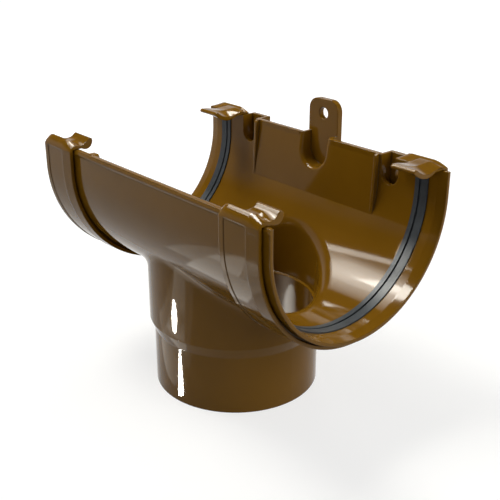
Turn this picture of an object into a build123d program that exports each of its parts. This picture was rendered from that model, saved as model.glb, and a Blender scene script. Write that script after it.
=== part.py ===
from build123d import *
import os

# Running outlet for a half-round gutter, in millimetres.
# Origin: centre of the spigot's bottom rim. X runs along the gutter,
# -Y is the open street side, +Y is the fascia board, +Z is up.

# Half-round trough
axis_y = 1.0
axis_z = 127.3
trough_radius = 65.6
trough_wall = 2.8
trough_half_length = 101.0
rim_height = 13.6
bead_radius = 1.8
bead_overhang = 0.5
lead_in_depth = 6.0
lead_in_rise = 0.9

# Spigot and collar
spigot_radius = 50.0
spigot_bore = 47.4
spigot_top_z = 35.7
collar_radius = 52.8
collar_bottom_z = 42.7
collar_bore = 49.6
ledge_z = 48.9
outer_flare = 9.0
inner_flare = 13.0
spigot_lip = 0.8

# Clips, set back from the trough's ends
clip_setback = 4.3
clip_width = 28.2
clip_wall = 2.45
clip_shoulder = 8.7
clip_shoulder_drop = 0.5
clip_lead = 3.5
clip_arm_inset = 12.0
seat_clearance = 0.05

# Raised band that carries each clip
band_rise = 1.3
band_inset = 2.7
band_top_drop = 4.9

# Seal groove and seal
seal_setback = 11.9
seal_width = 8.8
seal_depth = 1.4
seal_proud = 0.7
seal_top_drop = 1.5
seal_split_width = 1.3
seal_split_depth = 1.2
seal_split_shift = -1.0

# Flat rear wall between the two pads
flat_half_width = 51.0
flat_thickness = 7.0
flat_rim_wall = 2.4
rib_width = 2.0
rib_rise = 3.0
rib_round = 1.8

# Central notch and the fixing tab behind it
notch_half_width = 10.2
notch_depth = 20.1
notch_edge_round = 2.0
fascia_gap = 8.4
tab_thickness = 3.8
tab_half_width = 12.2
tab_height = 21.4
tab_corner_radius = 7.0
tab_hole_drop = 8.9
tab_hole_diameter = 7.5
tab_root_depth = 33.0

# Screw pads either side of the flat wall
pad_start = 52.8
pad_width = 15.6
pad_depth = 28.0
pad_plate = 2.8
pad_side_wall = 2.1
pad_notch_x = 61.0
pad_notch_half_width = 6.2
pad_notch_depth = 16.6
pad_hole_drop = 12.0
pad_hole_diameter = 5.4

# Stop lug behind the front rim
lug_centre_x = -54.0
lug_width = 7.2
lug_thickness = 2.8
lug_height = 6.5
lug_corner_radius = 2.0
lug_rise = 0.3

# Caps over the rims, measured up from the rim's seat
cap_side_drop = 3.9
cap_edge_drop = 0.9
front_crest_rise = 4.6
front_crest_inset = 4.1
front_crest_start_rise = 3.0
front_crest_end_rise = 2.3
front_cap_width = 8.9
rear_crest_rise = 3.2
rear_crest_inset = 0.9
rear_crest_start_rise = 2.1
rear_crest_end_rise = 1.0
rear_cap_width = 10.9
cap_inner_rise = 1.6
cap_roundness = 0.3

# Springy arms: reach inward from the seat, height of the tip above the rim
front_arm_reach = 13.6
front_arm_height = 4.9
rear_arm_reach = 27.0
rear_arm_height = 4.5

# How far the shoulder has dropped along its length, both as fractions
shoulder_steps = [(0.0, 0.0), (0.35, 0.2), (0.7, 0.6), (1.0, 1.0)]
lead_steps = [(0.0, 0.0), (0.35, 0.65), (1.0, 1.0)]

# Bare panel let into each strap
panel_inset = 3.5
panel_depth = 0.3
panel_top_drop = 1.1
panel_reach = 46.0

rim_z = axis_z + rim_height
band_radius = trough_radius + band_rise
clip_inner_radius = band_radius + seat_clearance
clip_outer_radius = clip_inner_radius + clip_wall
trough_bore = trough_radius - trough_wall
rim_seat_z = rim_z + seat_clearance
clip_side_top_z = rim_z - cap_side_drop
front_seat_y = axis_y - clip_inner_radius
rear_seat_y = axis_y + clip_inner_radius
back_y = axis_y + trough_radius
fascia_y = back_y + fascia_gap
flat_front_y = back_y - flat_thickness
flat_rim_y = back_y - flat_rim_wall
flat_low_z = axis_z - trough_radius / 2
crease_z = axis_z - (trough_bore**2 - (flat_front_y - axis_y) ** 2) ** 0.5
tab_front_y = fascia_y - tab_thickness
tab_top_z = rim_z + tab_height
notch_bottom_z = rim_z - notch_depth
clip_end = trough_half_length - clip_setback
seal_stop = trough_half_length - seal_setback
seal_start = seal_stop - seal_width
seal_top_z = rim_z - seal_top_drop
tab_root_z = rim_z - tab_root_depth
tab_hole_z = tab_top_z - tab_hole_drop
pad_stop = pad_start + pad_width
overshoot = 1.0


def along(section, start, stop):
    """Carry a section drawn in (y, z) from one station on the gutter to another."""
    return extrude(Plane.YZ.offset(start) * section, stop - start)


def half_round(radius, top_z):
    """U section: half a disc below the trough axis, straight sides above it."""
    disc = Pos(axis_y, axis_z) * Circle(radius)
    below = Pos(axis_y, axis_z) * Rectangle(2 * radius, radius, align=(Align.CENTER, Align.MAX))
    sides = Pos(axis_y, axis_z) * Rectangle(
        2 * radius, top_z - axis_z, align=(Align.CENTER, Align.MIN)
    )
    return (disc & below) + sides


def box(x_range, y_range, z_range):
    """Box given by its limits on each axis."""
    size = [high - low for low, high in (x_range, y_range, z_range)]
    corner = Pos(x_range[0], y_range[0], z_range[0])
    return corner * Box(*size, align=(Align.MIN, Align.MIN, Align.MIN))


def slot_cutter(x_centre, half_width, bottom_z, y_range):
    """Upright cutter with a round bottom, open past the rim."""
    centre_z = bottom_z + half_width
    disc = Pos(x_centre, centre_z) * Circle(half_width)
    height = rim_z + overshoot - centre_z
    shaft = Pos(x_centre, centre_z) * Rectangle(
        2 * half_width, height, align=(Align.CENTER, Align.MIN)
    )
    plane = Plane.XZ.offset(-y_range[1])
    return extrude(plane * (disc + shaft), y_range[1] - y_range[0])


def tube_outside():
    """Turned outside of spigot and collar, reaching up to the trough axis."""
    outline = Polyline(
        (0, 0),
        (spigot_radius, 0),
        (spigot_radius, spigot_top_z),
        (collar_radius, collar_bottom_z),
        (collar_radius, axis_z),
        (0, axis_z),
        close=True,
    )
    return revolve(Plane.XZ * make_face(outline), Axis.Z)


def tube_inside():
    """Turned inside of spigot and collar with the ledge between them."""
    outline = Polyline(
        (0, 0),
        (spigot_bore + spigot_lip, 0),
        (spigot_bore, spigot_lip),
        (spigot_bore, ledge_z),
        (collar_bore, ledge_z),
        (collar_bore, axis_z),
        (0, axis_z),
        close=True,
    )
    return revolve(Plane.XZ * make_face(outline), Axis.Z)


def seam_between(joined, low_z, tube_radius):
    """Edges where the tube's wall meets the round of the trough."""
    return [
        edge
        for edge in joined.edges()
        if edge.bounding_box().min.Z > low_z + overshoot
        and edge.bounding_box().max.Z < axis_z - overshoot
        and edge.bounding_box().size.X > tube_radius
    ]


def saddle():
    """Solid trough and tube run together, with the flare between them."""
    trough = along(half_round(trough_radius, rim_z), -trough_half_length, trough_half_length)
    joined = trough + tube_outside()
    return fillet(seam_between(joined, collar_bottom_z, collar_radius), outer_flare)


def clearway():
    """Water way taken out of the saddle: trough, funnel and bore."""
    reach = trough_half_length + overshoot
    trough = along(half_round(trough_bore, rim_z + overshoot), -reach, reach)
    joined = trough + tube_inside()
    return fillet(seam_between(joined, ledge_z, collar_bore), inner_flare)


def lead_in(side):
    """Shallow flare that guides the gutter end into the socket."""
    inner = Plane.YZ.offset(side * (trough_half_length - lead_in_depth))
    outer = Plane.YZ.offset(side * trough_half_length)
    narrow = inner * half_round(trough_bore, rim_z + overshoot)
    wide = outer * half_round(trough_bore + lead_in_rise, rim_z + overshoot)
    return loft([narrow, wide], ruled=True)


def clip_band(side):
    """Raised band round the outside that a clip grips."""
    top_z = rim_z - band_top_drop
    section = half_round(band_radius, top_z) - half_round(trough_radius - trough_wall / 2, top_z)
    inboard = clip_end - clip_width + band_inset
    outboard = clip_end - band_inset
    start, stop = sorted((side * inboard, side * outboard))
    return along(section, start, stop)


def seal_groove(side):
    """Groove cut into the socket wall for the seal."""
    section = half_round(trough_bore + seal_depth, seal_top_z)
    start, stop = sorted((side * seal_start, side * seal_stop))
    return along(section, start, stop)


def rim_bead():
    """Rounded bead along the street-side rim."""
    centre_y = axis_y - trough_radius + bead_radius - bead_overhang
    section = Pos(centre_y, rim_z - bead_radius) * Circle(bead_radius)
    return along(section, -trough_half_length, trough_half_length)


def lean_section(rim_y):
    """Wall section whose inner face leans back from the crease to the rim."""
    outline = Polyline(
        (flat_front_y, flat_low_z),
        (flat_front_y, crease_z),
        (rim_y, rim_z),
        (fascia_y, rim_z),
        (fascia_y, flat_low_z),
        close=True,
    )
    return make_face(outline)


def edge_rib(side):
    """Slim rib that closes the leaning wall off on one side, rounded at the rim."""
    section = lean_section(flat_rim_y - rib_rise)
    nose = [v for v in section.vertices() if v.X < flat_rim_y and v.Y > rim_z - overshoot]
    section = fillet(nose, rib_round)
    start, stop = sorted((side * flat_half_width, side * (flat_half_width + rib_width)))
    return along(section, start, stop)


def flat_wall():
    """Leaning flat wall on the fascia side, with its ribs and the notch's rounded edge."""
    block = along(lean_section(flat_rim_y), -flat_half_width, flat_half_width)
    block -= slot_cutter(
        0, notch_half_width, notch_bottom_z, (flat_front_y - overshoot, fascia_y + overshoot)
    )
    leaning = [
        face
        for face in block.faces()
        if face.normal_at().Y < -0.5 and face.bounding_box().min.Z > crease_z - overshoot
    ]
    mouth = [
        edge
        for face in leaning
        for edge in face.edges()
        if abs(edge.center().X) < notch_half_width + overshoot
        and edge.bounding_box().size.Z > notch_half_width / 2
    ]
    block = fillet(mouth, notch_edge_round) + edge_rib(-1) + edge_rib(1)
    reach = flat_half_width + rib_width
    return block & along(half_round(trough_radius, rim_z), -reach, reach)


def notch_room():
    """Room in the round wall for the leaning wall's rounded notch."""
    reach = notch_half_width + notch_edge_round + overshoot
    low_z = notch_bottom_z - notch_edge_round - overshoot
    room = box((-reach, reach), (axis_y, fascia_y), (low_z, rim_z + overshoot))
    return room & along(half_round(trough_radius, rim_z + overshoot), -reach, reach)


def fixing_tab():
    """Upright tab against the fascia with one screw hole, and the boss that carries it."""
    height = tab_top_z - tab_root_z
    plate = Pos(0, tab_root_z) * Rectangle(
        2 * tab_half_width, height, align=(Align.CENTER, Align.MIN)
    )
    top_corners = [v for v in plate.vertices() if v.Y > tab_top_z - overshoot]
    plate = fillet(top_corners, tab_corner_radius)
    plate -= Pos(0, tab_hole_z) * Circle(tab_hole_diameter / 2)
    upright = extrude(Plane.XZ.offset(-fascia_y) * plate, tab_thickness)
    boss = box(
        (-tab_half_width, tab_half_width),
        (axis_y + trough_bore, fascia_y),
        (tab_root_z, rim_z),
    )
    return upright + boss


def screw_pad(side):
    """Box behind the wall that meets the fascia, hollow from above."""
    x_range = sorted((side * pad_start, side * pad_stop))
    return box(x_range, (axis_y + trough_bore, fascia_y), (rim_z - pad_depth, rim_z))


def pad_cutters(side):
    """Pocket behind the wall, notch through the wall, and screw hole in the back plate."""
    plate_front = fascia_y - pad_plate
    x_range = sorted((side * (pad_start + pad_side_wall), side * (pad_stop - pad_side_wall)))
    pocket = box(
        x_range,
        (axis_y + trough_bore, plate_front),
        (rim_z - pad_depth + pad_plate, rim_z + overshoot),
    )
    wall = half_round(trough_radius, rim_z + overshoot)
    pocket -= along(wall, -trough_half_length, trough_half_length)
    notch = slot_cutter(
        side * pad_notch_x,
        pad_notch_half_width,
        rim_z - pad_notch_depth,
        (flat_front_y, plate_front),
    )
    hole_z = rim_z - pad_hole_drop
    hole = Pos(side * pad_notch_x, fascia_y - pad_plate / 2, hole_z) * Rot(X=90) * Cylinder(
        pad_hole_diameter / 2, 2 * pad_plate
    )
    return pocket + notch + hole


def stop_lug():
    """Small rounded lug standing behind the street-side rim."""
    wall_y = axis_y - trough_bore
    top_z = rim_z + lug_rise
    lug = box(
        (lug_centre_x - lug_width / 2, lug_centre_x + lug_width / 2),
        (wall_y - trough_wall / 2, wall_y + lug_thickness),
        (top_z - lug_height, top_z),
    )
    ends = [e for e in lug.edges().filter_by(Axis.Y) if e.center().Z > top_z - lug_corner_radius]
    return fillet(ends, lug_corner_radius)


def outlet_body():
    """The one-piece outlet moulding."""
    body = saddle() + rim_bead()
    for side in (-1, 1):
        body += clip_band(side)
        body += screw_pad(side)
    body += fixing_tab()
    wall = flat_wall()
    body -= clearway()
    body -= slot_cutter(
        0, notch_half_width, notch_bottom_z, (flat_front_y - overshoot, tab_front_y)
    )
    body -= notch_room()
    body += wall
    body += stop_lug()
    for side in (-1, 1):
        body -= pad_cutters(side)
        body -= lead_in(side)
        body -= seal_groove(side)
    return body


def front_cap(crest_rise, inset):
    """Section of the clip's street-side cap for a given crest height."""
    outer_y = front_seat_y - clip_wall + inset
    inner_y = front_seat_y - clip_wall + front_cap_width
    crest_y = front_seat_y - clip_wall + front_crest_inset
    edge_z = rim_seat_z - cap_edge_drop
    crest_z = rim_seat_z + crest_rise
    inner_z = rim_seat_z + cap_inner_rise
    bulge = cap_roundness * (crest_z - edge_z)
    edges = [
        Line((outer_y, clip_side_top_z), (outer_y, edge_z)),
        ThreePointArc(
            (outer_y, edge_z),
            ((outer_y + crest_y) / 2 - bulge / 4, (edge_z + crest_z) / 2 + bulge / 2),
            (crest_y, crest_z),
        ),
        Line((crest_y, crest_z), (inner_y, inner_z)),
        Line((inner_y, inner_z), (inner_y, rim_seat_z)),
        Line((inner_y, rim_seat_z), (front_seat_y, rim_seat_z)),
        Line((front_seat_y, rim_seat_z), (front_seat_y, clip_side_top_z)),
        Line((front_seat_y, clip_side_top_z), (outer_y, clip_side_top_z)),
    ]
    return make_face(edges)


def rear_cap(crest_rise, inset):
    """Section of the clip's fascia-side cap for a given crest height."""
    outer_y = rear_seat_y + clip_wall - inset
    inner_y = rear_seat_y + clip_wall - rear_cap_width
    crest_y = rear_seat_y + clip_wall - rear_crest_inset - inset
    edge_z = rim_seat_z - cap_edge_drop
    crest_z = rim_seat_z + crest_rise
    inner_z = rim_seat_z + min(cap_inner_rise, crest_rise)
    edges = [
        Line((outer_y, clip_side_top_z), (outer_y, edge_z)),
        Line((outer_y, edge_z), (outer_y, crest_z - rear_crest_inset)),
        Line((outer_y, crest_z - rear_crest_inset), (crest_y, crest_z)),
        Line((crest_y, crest_z), (inner_y, inner_z)),
        Line((inner_y, inner_z), (inner_y, rim_seat_z)),
        Line((inner_y, rim_seat_z), (rear_seat_y, rim_seat_z)),
        Line((rear_seat_y, rim_seat_z), (rear_seat_y, clip_side_top_z)),
        Line((rear_seat_y, clip_side_top_z), (outer_y, clip_side_top_z)),
    ]
    return make_face(edges)


def arm_section(top, tip, under, place):
    """Arm section from its upper curve, tip and lower curve, set on the rim by place."""
    upper = Spline(*[place(*point) for point in top])
    end = ThreePointArc(place(*top[-1]), place(*tip), place(*under[0]))
    lower = Spline(*[place(*point) for point in under])
    heel = place(top[0][0], under[-1][1])
    back = Polyline(place(*under[-1]), heel, place(*top[0]))
    return make_face([upper, end, lower, back])


def front_arm(root, middle):
    """Short arm: a dip behind the rim, then an upturned tip; points are fractions."""
    top = [(0.147, root), (0.382, root - 0.04), (0.632, middle), (0.801, 1.0)]
    under = [(1.0, 0.735), (0.949, 0.245), (0.816, -0.1), (0.654, -0.18), (0.36, 0.25)]

    def place(inward, upward):
        y = front_seat_y + inward * front_arm_reach
        return y, rim_seat_z + upward * front_arm_height

    return arm_section(top, (0.941, 1.06), under, place)


def rear_arm(root, middle, dip):
    """Long arm on the fascia side with a shallower dip; points are fractions."""
    top = [(0.076, root), (0.278, root - 0.03), (0.519, middle), (0.741, middle + 0.25), (0.911, 1.0)]
    under = [(1.0, 0.644), (0.833, 0.2 + dip / 2), (0.593, 0.067 + dip), (0.37, 0.04 + dip / 3), (0.25, 0.3)]

    def place(inward, upward):
        y = rear_seat_y - inward * rear_arm_reach
        return y, rim_seat_z + upward * rear_arm_height

    return arm_section(top, (0.97, 1.0), under, place)


def run_sections(sections):
    """Run straight between sections given as (station, face) pairs."""
    planes = [Plane.YZ.offset(x) * face for x, face in sections]
    pieces = [loft([near, far], ruled=True) for near, far in zip(planes, planes[1:])]
    run = pieces[0]
    for piece in pieces[1:]:
        run += piece
    return run


def cap_run(section, start, start_rise, full_rise, end_rise):
    """Cap along the clip: rounded start, level crest, then the falling shoulder."""
    stop = start + clip_width
    crest = stop - clip_shoulder
    stations = [
        (start + clip_lead * gone, section(start_rise + (full_rise - start_rise) * grown, 0))
        for gone, grown in lead_steps
    ]
    stations += [
        (
            crest + clip_shoulder * gone,
            section(full_rise + (end_rise - full_rise) * dropped, clip_shoulder_drop * dropped),
        )
        for gone, dropped in shoulder_steps
    ]
    return run_sections(stations)


def arm_run(start, full, end):
    """Arm along the clip: one section to the shoulder, then easing into the end section."""
    stop = start + clip_width
    crest = stop - clip_shoulder
    return run_sections([(start + clip_arm_inset, full), (crest, full), (stop, end)])


def strap(start):
    """Half-round strap with its shoulder towards +X."""
    stop = start + clip_width
    crest = stop - clip_shoulder
    inner = half_round(clip_inner_radius, clip_side_top_z)
    full = half_round(clip_outer_radius, clip_side_top_z)
    low = half_round(clip_outer_radius - clip_shoulder_drop, clip_side_top_z)
    solid = along(full, start, crest) + run_sections([(crest, full), (stop, low)])
    return solid - along(inner, start - overshoot, stop + overshoot)


def panel_recess(start):
    """Shallow bare panel let into the outside of the strap on the street side."""
    top_z = rim_seat_z - panel_top_drop
    outer = half_round(clip_outer_radius + overshoot, top_z)
    floor = half_round(clip_outer_radius - panel_depth, top_z)
    window = Pos(front_seat_y + panel_reach, 0) * Rectangle(
        2 * trough_radius, top_z, align=(Align.MAX, Align.MIN)
    )
    section = (outer - floor) & window
    return along(section, start + panel_inset, start + clip_width - clip_shoulder)


def clip(start):
    """Retaining clip: strap round the trough with a cap and an arm at each end."""
    whole = strap(start)
    whole += cap_run(
        front_cap, start, front_crest_start_rise, front_crest_rise, front_crest_end_rise
    )
    whole += cap_run(
        rear_cap, start, rear_crest_start_rise, rear_crest_rise, rear_crest_end_rise
    )
    whole += arm_run(start, front_arm(0.69, 0.69), front_arm(0.33, 0.59))
    whole += arm_run(start, rear_arm(0.69, 0.644, 0.0), rear_arm(0.37, 0.067, -0.5))
    return whole - panel_recess(start)


def seal(side):
    """Rubber seal lying in the socket groove, split in two lips."""
    outer = half_round(trough_bore + seal_depth, seal_top_z)
    inner = half_round(trough_bore - seal_proud, seal_top_z)
    start, stop = sorted((side * seal_start, side * seal_stop))
    strip = along(outer - inner, start, stop)
    split = half_round(trough_bore - seal_proud + seal_split_depth, seal_top_z + overshoot)
    centre = (seal_start + seal_stop) / 2 + seal_split_shift
    low, high = sorted(
        (side * (centre - seal_split_width / 2), side * (centre + seal_split_width / 2))
    )
    return strip - along(split, low, high)


os.makedirs("parts", exist_ok=True)

nodes = {
    "outlet_body": outlet_body(),
    "strap_clip_left": clip(-clip_end),
    "strap_clip_right": clip(clip_end - clip_width),
    "seal_left": seal(-1),
    "seal_right": seal(1),
}

for name, shape in nodes.items():
    export_step(shape, f"parts/{name}.step")
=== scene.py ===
import math
import bpy
from mathutils import Matrix, Vector


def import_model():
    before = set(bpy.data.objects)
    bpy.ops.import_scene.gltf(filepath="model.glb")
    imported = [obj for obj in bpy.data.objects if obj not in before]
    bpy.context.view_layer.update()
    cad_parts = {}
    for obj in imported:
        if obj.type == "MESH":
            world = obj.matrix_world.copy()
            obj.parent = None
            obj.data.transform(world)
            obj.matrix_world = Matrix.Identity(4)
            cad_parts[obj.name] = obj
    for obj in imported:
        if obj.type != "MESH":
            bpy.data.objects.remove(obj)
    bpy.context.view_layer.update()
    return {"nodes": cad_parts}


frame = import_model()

WHITE = (1, 1, 1, 1)

# Camera solved from the photograph: place in metres, angles in degrees.
CAMERA_AT = Vector((0.3738, -0.3140, 0.2855))
CAMERA_AZIMUTH = 48.98
CAMERA_ELEVATION = 22.66
LENS_MM = 63.67
SENSOR_MM = 36.0
CLIP_NEAR = 0.01
CLIP_FAR = 50.0

# Floor: height and half width in metres, and how white it looks close by and far off.
FLOOR_Z = -0.0004
FLOOR_HALF = 6.0
FLOOR_GREY = (0.3, 0.3, 0.3, 1)
FLOOR_ROUGHNESS = 0.9
FLOOR_NEAR = 0.72
FLOOR_FAR = 0.97
FADE_START = 0.15
FADE_END = 0.7

# Surround: white up to one height on the sky's unit sphere, dim from another.
WHITE_UP_TO = 0.25
DIM_FROM = 0.42
DIM_GREY = (0.08, 0.08, 0.08, 1)

# Lamps: the studio lamps point at AIM, and the gap parts the ellipses of a glow.
LAMP_WHITE = (1.0, 0.98, 0.90)
AIM = Vector((0.02, 0.0, 0.09))
GLOW_GAP = 0.01
GRID_SPREAD = 40
STRIP_Z = 0.0012

# Share of a noise's range in which the darker tone turns into the lighter one.
TONE_START = 0.3
TONE_END = 0.7

# Samples for the softened edges and for the painted shade in the crevices.
RAY_SAMPLES = 8

# Brown plastic: noise scales per metre, lengths in metres.
BROWN_DARK = (0.150, 0.069, 0.0035, 1)
BROWN_LIGHT = (0.172, 0.080, 0.0050, 1)
OUTLET_FLOW_SCALE = 22.0
CLIP_FLOW_SCALE = 31.0
PLASTIC_IOR = 1.2
PLASTIC_SMOOTH = 0.04
PLASTIC_MARKED = 0.12
MARK_SCALE = 160.0
RIPPLE_SCALE = 38.0
RIPPLE_STRENGTH = 0.05
RIPPLE_DEPTH = 0.0006
EDGE_RADIUS = 0.0009

# Painted shade in the plastic's crevices: a point is deep or open by the share of its surround it
# sees.
PAINTED_SHADE_REACH = 0.0016
PAINTED_SHADE_DEEP = 0.35
PAINTED_SHADE_OPEN = 0.85
PAINTED_CREVICE_SHADE = (0.35, 0.35, 0.35, 1)

# Seal rubber: noise scales per metre, lengths in metres.
RUBBER_DARK = (0.040, 0.046, 0.053, 1)
RUBBER_LIGHT = (0.060, 0.068, 0.077, 1)
RUBBER_IOR = 1.18
RUBBER_SMOOTH = 0.26
RUBBER_DULL = 0.36
TONE_SCALE = 90.0
GRAIN_SCALE = 1400.0
GRAIN_STRENGTH = 0.12
GRAIN_DEPTH = 0.0002

# Colour sockets of a Mix node; their names are shared with its other sockets.
MIX_FIRST = 6
MIX_SECOND = 7
MIX_RESULT = 2


def new_material(name):
    """A new material, with its node tree and its principled shader."""
    material = bpy.data.materials.new(name)
    material.use_nodes = True
    tree = material.node_tree
    shader = tree.nodes["Principled BSDF"]
    return material, tree, shader


def add(tree, kind, **values):
    """A node of one kind, with its inputs or settings set by name."""
    node = tree.nodes.new(kind)
    for key, value in values.items():
        if key in node.inputs:
            node.inputs[key].default_value = value
        else:
            setattr(node, key, value)
    return node


def object_noise(tree, scale, detail, roughness):
    """Noise in the object's own coordinates."""
    coords = add(tree, "ShaderNodeTexCoord")
    noise = add(tree, "ShaderNodeTexNoise", Scale=scale, Detail=detail, Roughness=roughness)
    tree.links.new(coords.outputs["Object"], noise.inputs["Vector"])
    return noise.outputs["Fac"]


def ramp(tree, source, start, start_colour, end, end_colour):
    """Colour that runs from one value of the source to another."""
    node = add(tree, "ShaderNodeValToRGB")
    first, last = node.color_ramp.elements
    first.position = start
    first.color = start_colour
    last.position = end
    last.color = end_colour
    tree.links.new(source, node.inputs["Fac"])
    return node.outputs["Color"]


def span(tree, source, low, high, start=0.0, end=1.0, curve="LINEAR"):
    """Map the source's values from start to end onto low to high."""
    node = add(tree, "ShaderNodeMapRange", interpolation_type=curve)
    node.inputs["From Min"].default_value = start
    node.inputs["From Max"].default_value = end
    node.inputs["To Min"].default_value = low
    node.inputs["To Max"].default_value = high
    tree.links.new(source, node.inputs["Value"])
    return node.outputs["Result"]


def combine(tree, operation, first, second):
    """Maths node that joins two values."""
    node = add(tree, "ShaderNodeMath", operation=operation)
    tree.links.new(first, node.inputs[0])
    tree.links.new(second, node.inputs[1])
    return node.outputs["Value"]


def relief(tree, height, strength, depth):
    """Bump node that follows a height."""
    node = add(tree, "ShaderNodeBump", Strength=strength, Distance=depth)
    tree.links.new(height, node.inputs["Height"])
    return node


def paint_crevice_shade(tree, colour):
    """The colour with painted shade: darker where the surface is closed in by its own edges and
    corners.
    """
    seen = add(tree, "ShaderNodeAmbientOcclusion", samples=RAY_SAMPLES, Distance=PAINTED_SHADE_REACH)
    shade = ramp(tree, seen.outputs["AO"], PAINTED_SHADE_DEEP, PAINTED_CREVICE_SHADE, PAINTED_SHADE_OPEN, WHITE)
    node = add(tree, "ShaderNodeMix", data_type="RGBA", blend_type="MULTIPLY")
    node.inputs["Factor"].default_value = 1.0
    tree.links.new(colour, node.inputs[MIX_FIRST])
    tree.links.new(shade, node.inputs[MIX_SECOND])
    return node.outputs[MIX_RESULT]


def gloss_plastic(name, dark, light, flow_scale):
    """Glossy moulded plastic: faint flow marks in the colour, small handling marks in the gloss."""
    material, tree, shader = new_material(name)
    flow = object_noise(tree, flow_scale, detail=4.0, roughness=0.55)
    colour = ramp(tree, flow, TONE_START, dark, TONE_END, light)
    # Painted shade: the base colour is darkened in crevices and corners.
    tree.links.new(paint_crevice_shade(tree, colour), shader.inputs["Base Color"])
    marks = object_noise(tree, MARK_SCALE, detail=6.0, roughness=0.65)
    rough = span(tree, marks, PLASTIC_SMOOTH, PLASTIC_MARKED)
    tree.links.new(rough, shader.inputs["Roughness"])
    soft_edge = add(tree, "ShaderNodeBevel", samples=RAY_SAMPLES, Radius=EDGE_RADIUS)
    ripple = object_noise(tree, RIPPLE_SCALE, detail=2.0, roughness=0.4)
    bump = relief(tree, ripple, RIPPLE_STRENGTH, RIPPLE_DEPTH)
    tree.links.new(soft_edge.outputs["Normal"], bump.inputs["Normal"])
    tree.links.new(bump.outputs["Normal"], shader.inputs["Normal"])
    shader.inputs["IOR"].default_value = PLASTIC_IOR
    return material


def seal_rubber(name):
    """Soft grey-black rubber with a satin skin and a fine grain."""
    material, tree, shader = new_material(name)
    tone = object_noise(tree, TONE_SCALE, detail=5.0, roughness=0.6)
    colour = ramp(tree, tone, TONE_START, RUBBER_DARK, TONE_END, RUBBER_LIGHT)
    tree.links.new(colour, shader.inputs["Base Color"])
    rough = span(tree, tone, RUBBER_SMOOTH, RUBBER_DULL)
    tree.links.new(rough, shader.inputs["Roughness"])
    grain = object_noise(tree, GRAIN_SCALE, detail=3.0, roughness=0.6)
    bump = relief(tree, grain, GRAIN_STRENGTH, GRAIN_DEPTH)
    tree.links.new(bump.outputs["Normal"], shader.inputs["Normal"])
    shader.inputs["IOR"].default_value = RUBBER_IOR
    return material


def dress(node, material):
    """Give a CAD node its finish."""
    obj = frame["nodes"][node]
    if not obj.data.materials:
        obj.data.materials.append(material)
    for slot in obj.material_slots:
        slot.material = material


def camera():
    """The photograph's camera: solved place and lens, held level, looking down at the object."""
    az = math.radians(CAMERA_AZIMUTH)
    el = math.radians(CAMERA_ELEVATION)
    back = Vector((math.sin(az) * math.cos(el), -math.cos(az) * math.cos(el), math.sin(el)))
    right = Vector((math.cos(az), math.sin(az), 0))
    up = back.cross(right)
    data = bpy.data.cameras.new("camera")
    data.lens = LENS_MM
    data.sensor_width = SENSOR_MM
    data.clip_start = CLIP_NEAR
    data.clip_end = CLIP_FAR
    obj = bpy.data.objects.new("camera", data)
    turn = Matrix((right, up, back)).transposed().to_4x4()
    obj.matrix_world = Matrix.Translation(CAMERA_AT) @ turn
    bpy.context.collection.objects.link(obj)
    bpy.context.scene.camera = obj


def metres(*values):
    """A vector in metres from values in millimetres."""
    return Vector(values) / 1000


def facing(target, azimuth, elevation, distance):
    """Place of a lamp that looks back at a target; azimuth runs from +X towards +Y, in degrees."""
    az = math.radians(azimuth)
    el = math.radians(elevation)
    away = Vector((math.cos(az) * math.cos(el), math.sin(az) * math.cos(el), math.sin(el)))
    turn = away.to_track_quat("Z", "Y").to_matrix().to_4x4()
    return Matrix.Translation(target + away * distance) @ turn


def lamp(name, place, width, height, radiance, gloss_only=True, shape="ELLIPSE"):
    """Area lamp that shines along its own -Z, out of the camera's sight.

    A lamp for the gloss only shows in reflections and leaves the object's shading alone.
    """
    data = bpy.data.lights.new(name, "AREA")
    data.shape = shape
    data.size = width
    data.size_y = height
    data.energy = radiance * math.pi * width * height
    data.color = LAMP_WHITE
    obj = bpy.data.objects.new(name, data)
    obj.matrix_world = place
    obj.visible_camera = False
    obj.visible_diffuse = not gloss_only
    bpy.context.collection.objects.link(obj)
    return data


def softbox(name, azimuth, elevation, distance, width, height, radiance, gloss_only):
    """Soft box aimed at the object; its brightness is given as seen in a mirror."""
    place = facing(AIM, azimuth, elevation, distance)
    lamp(name, place, width, height, radiance, gloss_only, "RECTANGLE")


def glow(name, azimuth, elevation, distance, width, height, radiance, steps):
    """Glossy highlight that fades outwards: ellipses one behind the other, each a step larger."""
    for step in range(steps):
        share = (step + 1) / steps
        place = facing(AIM, azimuth, elevation, distance + GLOW_GAP * step)
        lamp(name + str(step), place, width * share, height * share, radiance / steps)


def grid_glint(name, at, azimuth, elevation, distance, width, height, radiance):
    """Small lamp close to a point in millimetres; its grid hides it from rays off its axis."""
    place = facing(metres(*at), azimuth, elevation, distance)
    data = lamp(name, place, width, height, radiance)
    data.spread = math.radians(GRID_SPREAD)


def strip(name, start, end, width, radiance):
    """Low strip lamp that shines up, between two floor points in millimetres, for the gloss."""
    start = metres(*start, 0)
    end = metres(*end, 0)
    along = (end - start).normalized()
    down = Vector((0, 0, -1))
    turn = Matrix((along, down.cross(along), down)).transposed().to_4x4()
    middle = (start + end) / 2 + Vector((0, 0, STRIP_Z))
    place = Matrix.Translation(middle) @ turn
    lamp(name, place, (end - start).length, width / 1000, radiance, shape="RECTANGLE")


def white_to_eye(tree):
    """1 for camera, mirror and glass rays, 0 for the light that falls on the object."""
    path = add(tree, "ShaderNodeLightPath")
    first = combine(tree, "MAXIMUM", path.outputs["Is Camera Ray"], path.outputs["Is Glossy Ray"])
    return combine(tree, "MAXIMUM", first, path.outputs["Is Transmission Ray"])


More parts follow.
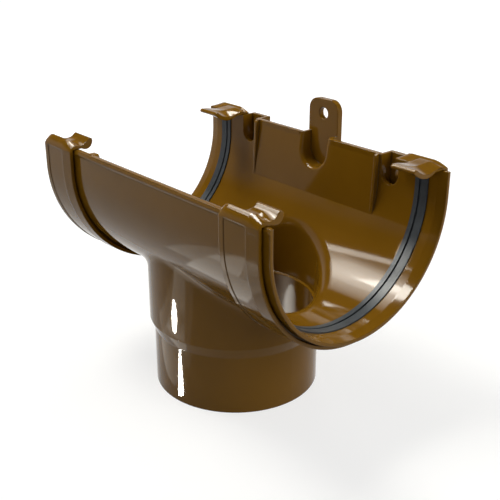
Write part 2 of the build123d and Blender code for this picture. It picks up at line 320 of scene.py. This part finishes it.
def floor():
    """Pale floor: white to the eye, and it keeps the object's shadow."""
    material, tree, shader = new_material("floor_white")
    shader.inputs["Base Color"].default_value = FLOOR_GREY
    shader.inputs["Roughness"].default_value = FLOOR_ROUGHNESS
    shader.inputs["Specular IOR Level"].default_value = 0.0
    shader.inputs["Emission Color"].default_value = WHITE
    coords = add(tree, "ShaderNodeTexCoord")
    away = add(tree, "ShaderNodeVectorMath", operation="LENGTH")
    tree.links.new(coords.outputs["Object"], away.inputs[0])
    fade = span(
        tree, away.outputs["Value"], FLOOR_NEAR, FLOOR_FAR, FADE_START, FADE_END, "SMOOTHSTEP"
    )
    strength = combine(tree, "MULTIPLY", white_to_eye(tree), fade)
    tree.links.new(strength, shader.inputs["Emission Strength"])
    corners = [
        (-FLOOR_HALF, -FLOOR_HALF, FLOOR_Z),
        (FLOOR_HALF, -FLOOR_HALF, FLOOR_Z),
        (FLOOR_HALF, FLOOR_HALF, FLOOR_Z),
        (-FLOOR_HALF, FLOOR_HALF, FLOOR_Z),
    ]
    mesh = bpy.data.meshes.new("floor")
    mesh.from_pydata(corners, [], [(0, 1, 2, 3)])
    mesh.materials.append(material)
    obj = bpy.data.objects.new("floor", mesh)
    bpy.context.collection.objects.link(obj)


def world():
    """Pale studio surround, white up to a little above the horizon and dim overhead."""
    studio = bpy.data.worlds.new("studio")
    bpy.context.scene.world = studio
    studio.use_nodes = True
    tree = studio.node_tree
    back = tree.nodes["Background"]
    coords = add(tree, "ShaderNodeTexCoord")
    parts = add(tree, "ShaderNodeSeparateXYZ")
    tree.links.new(coords.outputs["Generated"], parts.inputs["Vector"])
    shade = ramp(tree, parts.outputs["Z"], WHITE_UP_TO, WHITE, DIM_FROM, DIM_GREY)
    tree.links.new(shade, back.inputs["Color"])
    back.inputs["Strength"].default_value = 1.0


# Name, azimuth, elevation, distance, width, height and brightness of each soft box.
SOFT_BOXES = [
    ("key", -168, 53.5, 1.18, 0.36, 0.20, 8.0),
    ("core", -150, 66, 1.20, 0.42, 0.32, 15.0),
    ("wide", -175, 55, 1.22, 0.7, 0.6, 4.5),
    ("back", 136, 41, 1.2, 0.25, 0.15, 12.0),
    ("side", 25, 25, 1.3, 0.8, 0.8, 4.0),
]

# The same for the soft boxes that show only in the gloss.
GLINTS = [
    ("core_glint", -147, 66, 1.17, 0.42, 0.30, 70.0),
    ("window_glint", -165, 55.5, 1.16, 0.18, 0.06, 50.0),
    ("cap_glint", -146, 43.5, 1.14, 0.24, 0.06, 30.0),
    ("back_glint", 136, 41, 1.18, 0.20, 0.10, 12.0),
]

# Name, point in millimetres, azimuth, elevation, distance, width, height and brightness.
GRID_GLINTS = [
    ("spigot_streak", (8.3, -48.3, 9), -126, -31, 0.012, 0.0044, 0.050, 9.0),
    ("collar_streak", (8.0, -51.3, 58), -127, -26, 0.012, 0.0044, 0.020, 7.0),
    ("bore_patch", (-5, 47, 29), -122, -26, 0.03, 0.046, 0.040, 0.17),
    ("bore_streak", (-9, 46.5, 27), -124, -26, 0.03, 0.008, 0.028, 0.6),
    ("seal_sheen", (84.5, 50, 90), -139, 40, 0.03, 0.008, 0.012, 2.2),
]

# Name, start, end and width in millimetres, and brightness of each strip by the floor.
STRIPS = [
    ("near_fill", (-42, -58), (-42, -125), 70, 1.5),
    ("far_fill", (-45, -115), (-75, -225), 62, 3.0),
    ("low_haze", (-54, -85), (-54, -240), 110, 0.8),
]

plastic = gloss_plastic("outlet_plastic", BROWN_DARK, BROWN_LIGHT, OUTLET_FLOW_SCALE)
clip_plastic = gloss_plastic("clip_plastic", BROWN_DARK, BROWN_LIGHT, CLIP_FLOW_SCALE)
rubber = seal_rubber("seal_rubber")
dress("outlet_body", plastic)
dress("strap_clip_left", clip_plastic)
dress("strap_clip_right", clip_plastic)
dress("seal_left", rubber)
dress("seal_right", rubber)

camera()
floor()
world()
for row in SOFT_BOXES:
    softbox(*row, gloss_only=False)
glow("key_glow", -168, 54, 1.10, 0.75, 0.52, 22.0, steps=6)
for row in GLINTS:
    softbox(*row, gloss_only=True)
for row in GRID_GLINTS:
    grid_glint(*row)
for row in STRIPS:
    strip(*row)

bpy.context.scene.view_settings.view_transform = "Standard"
